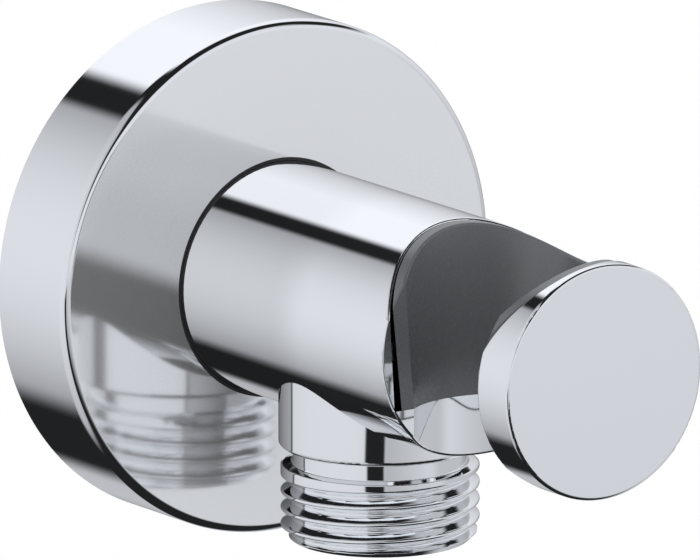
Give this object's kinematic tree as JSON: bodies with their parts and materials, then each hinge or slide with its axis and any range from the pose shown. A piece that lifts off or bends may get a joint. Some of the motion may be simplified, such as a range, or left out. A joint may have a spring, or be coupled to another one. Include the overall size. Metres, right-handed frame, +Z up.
{
  "type": "wall outlet elbow",
  "caption": "Round chromed wall outlet elbow: escutcheon, tube with a lined, side-open cradle for a hand shower, flat front disc and a downward threaded hose outlet holding a check valve.",
  "frame": {"origin": "on the axis of the tube in the plane of the wall, where the wall thread begins", "axes": "+Y runs into the wall along the tube's axis, -Y to the front, +Z up; the hose outlet points to -Z and the cradle opens to -X"},
  "size_m": [0.0554, 0.082, 0.0554],
  "materials": {
    "chrome_body": "polished chrome plate on brass",
    "chrome_cover": "polished chrome plate on brass, slightly soft reflections",
    "liner_plastic": "fine satin moulding",
    "bare_brass": "turned",
    "seal_rubber": "moulded",
    "screw_steel": "plain stainless",
    "spring_steel": "drawn stainless wire",
    "valve_plastic": "moulded acetal",
    "poppet_plastic": "moulded acetal"
  },
  "bodies": {
    "fitting": {"body": "chrome_body", "cradle_liner": "liner_plastic", "escutcheon": "chrome_cover", "escutcheon_ring": "seal_rubber", "wall_nipple": "bare_brass", "rear_nipple_ring": "seal_rubber", "front_nipple_ring": "seal_rubber", "set_screw": "screw_steel", "valve_housing": "valve_plastic", "valve_ring": "seal_rubber", "valve_guide": "valve_plastic", "valve_spring": "spring_steel"},
    "poppet": {"valve_poppet": "poppet_plastic", "poppet_seal": "seal_rubber"}
  },
  "joints": [
    {"name": "poppet_lift", "type": "slide", "parent": "fitting", "child": "poppet", "axis": [0, 0, -1], "range_m": [0, 0.0025], "stiffness_N_per_m": 60, "springref_m": -0.003, "deforming": ["valve_spring"]}
  ]
}
